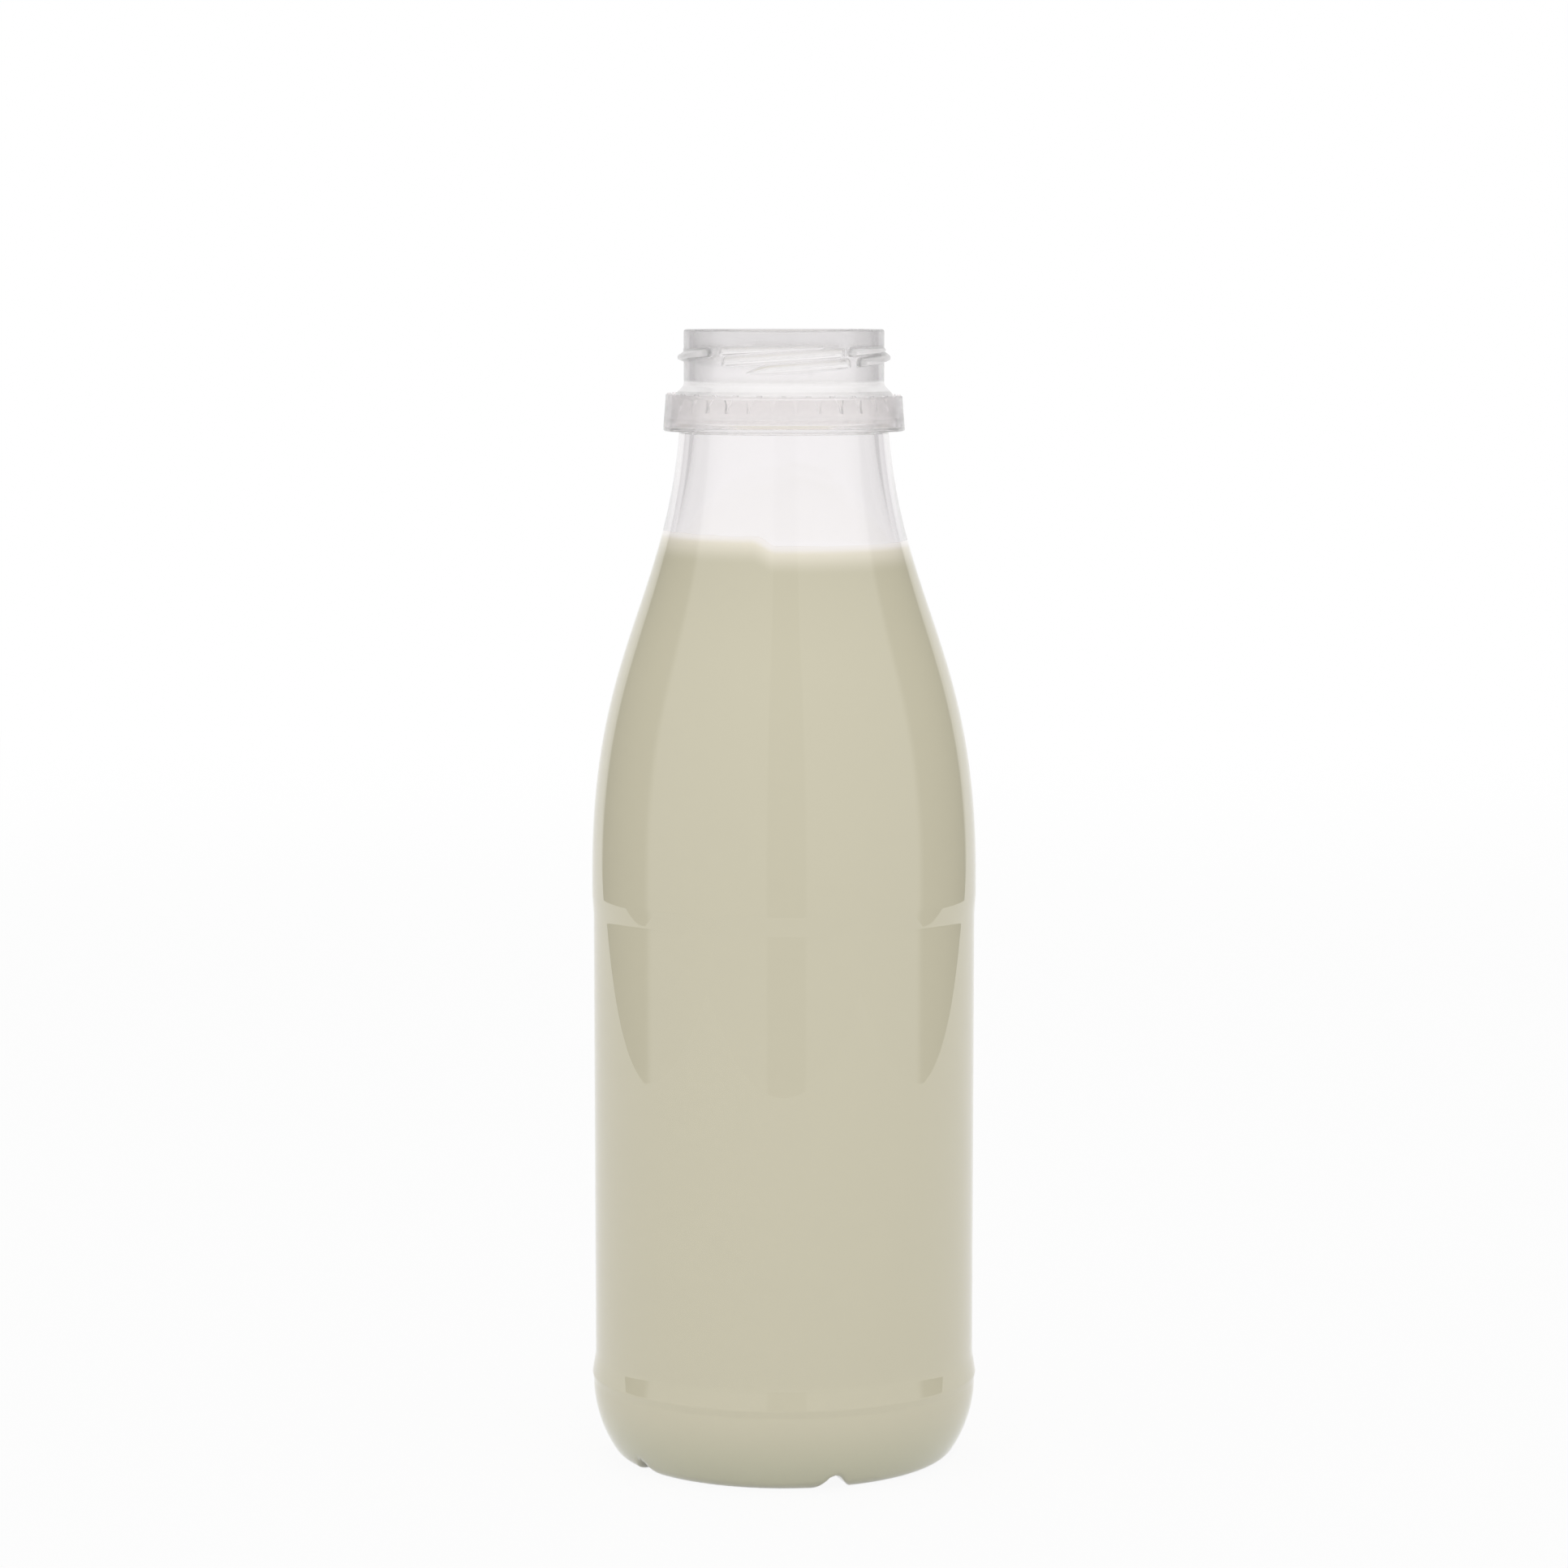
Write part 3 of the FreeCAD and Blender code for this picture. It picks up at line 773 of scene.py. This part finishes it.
# ---------------------------------------------------------------- stage
def seen_white(tree, base, level):
    """Mixes plain white into what camera, glossy and transmission rays see of the stage."""
    out = tree.nodes.new("ShaderNodeOutputMaterial")
    white = add(tree, "ShaderNodeEmission", Strength=1.0)
    colour = mix_colour(tree, ray(tree, "Is Transmission Ray"), WHITE, THROUGH_WHITE)
    tree.links.new(colour, white.inputs["Color"])
    seen = calc(tree, "MAXIMUM", ray(tree, "Is Camera Ray"), ray(tree, "Is Glossy Ray"))
    seen = calc(tree, "MAXIMUM", seen, ray(tree, "Is Transmission Ray"))
    mixed = mix_shader(tree, times(tree, seen, level), base, white.outputs[0])
    tree.links.new(mixed, out.inputs["Surface"])


def floor_pale():
    m, tree = new_material("floor_pale")
    base = add(tree, "ShaderNodeBsdfDiffuse", Color=grey(FLOOR_GREY))
    z = split(tree, "Object")[2]
    seen_white(tree, base.outputs[0], span(tree, z, *FLOOR_SEEN_Z, FLOOR_SEEN, 1.0))
    return m


def sweep():
    """A pale floor that curves up into a backdrop."""
    bend_y = BACK_Y - BACK_ROUND
    turns = [math.pi / 2 * i / BACK_STEPS for i in range(1, BACK_STEPS + 1)]
    line = [(-FLOOR_FRONT, 0.0), (0.0, 0.0), (bend_y, 0.0)]
    line += [(bend_y + BACK_ROUND * math.sin(a), BACK_ROUND * (1 - math.cos(a))) for a in turns]
    line.append((BACK_Y, BACK_TOP))
    verts = []
    for y, z in line:
        half = FLOOR_HALF + FLOOR_SPREAD * max(y, 0.0)
        verts += [(-half, y, z), (half, y, z)]
    faces = [(2 * i, 2 * i + 1, 2 * i + 3, 2 * i + 2) for i in range(len(line) - 1)]
    mesh = bpy.data.meshes.new("floor")
    mesh.from_pydata(verts, [], faces)
    mesh.polygons.foreach_set("use_smooth", [True] * len(faces))
    mesh.materials.append(floor_pale())
    floor = bpy.data.objects.new("floor", mesh)
    bpy.context.scene.collection.objects.link(floor)


def studio():
    """White in front and behind, grey at the sides, plain white for the camera.
    Azimuths are in degrees from the front; a ray that mirrors, one that goes through the plastic
    and one that lights a surface each see a level of their own."""
    world = bpy.data.worlds.new("studio")
    bpy.context.scene.world = world
    world.use_nodes = True
    tree = world.node_tree
    tree.nodes.clear()
    out = tree.nodes.new("ShaderNodeOutputWorld")
    light = add(tree, "ShaderNodeBackground", Strength=1.0)
    x, y, _ = split(tree, "Generated")
    turn = calc(tree, "ARCTAN2", x, times(tree, y, -1.0))
    azimuth = calc(tree, "DEGREES", calc(tree, "ABSOLUTE", turn))
    to_right = calc(tree, "DEGREES", turn)
    # each is 1 in its own part: the two dark sides, all in front of them, and a narrow strip in front
    side = times(tree, span(tree, azimuth, *SIDE_FROM), span(tree, azimuth, *SIDE_TO))
    front = span(tree, azimuth, *SIDE_FROM[::-1])
    strip = times(tree, span(tree, to_right, *STRIP_FROM), span(tree, to_right, *STRIP_TO))
    mirrored = mix_colour(tree, front, grey(BACK_LEVEL), grey(FRONT_LEVEL))
    mirrored = mix_colour(tree, side, mirrored, grey(SIDE_DARK))
    mirrored = mix_colour(tree, strip, mirrored, grey(STRIP_LEVEL))
    side_through = tuple(c * SIDE_DARK_THROUGH for c in THROUGH_WHITE[:3]) + (1,)
    through = mix_colour(tree, side, THROUGH_WHITE, side_through)
    lighting = mix_colour(tree, side, WHITE, grey(SIDE_DARK_SOFT))
    colour = mix_colour(tree, ray(tree, "Is Diffuse Ray"), WHITE, lighting)
    colour = mix_colour(tree, ray(tree, "Is Glossy Ray"), colour, mirrored)
    colour = mix_colour(tree, ray(tree, "Is Transmission Ray"), colour, through)
    tree.links.new(colour, light.inputs["Color"])
    tree.links.new(light.outputs[0], out.inputs["Surface"])


sweep()
studio()

# ---------------------------------------------------------------- view
lens = bpy.data.cameras.new("camera")
lens.lens = LENS
lens.sensor_width = SENSOR
lens.clip_start = NEAR_CLIP
camera = bpy.data.objects.new("camera", lens)
camera.location = (0.0, -CAMERA_BACK * MM, (HEIGHT + CAMERA_OVER_RIM) * MM)
camera.rotation_euler = (math.radians(90.0 - CAMERA_PITCH), 0.0, 0.0)
bpy.context.scene.collection.objects.link(camera)
bpy.context.scene.camera = camera

bpy.context.scene.view_settings.view_transform = "Standard"
bpy.context.scene.cycles.max_bounces = BOUNCES
bpy.context.scene.cycles.glossy_bounces = GLOSSY_BOUNCES
bpy.context.scene.cycles.transmission_bounces = THROUGH_BOUNCES
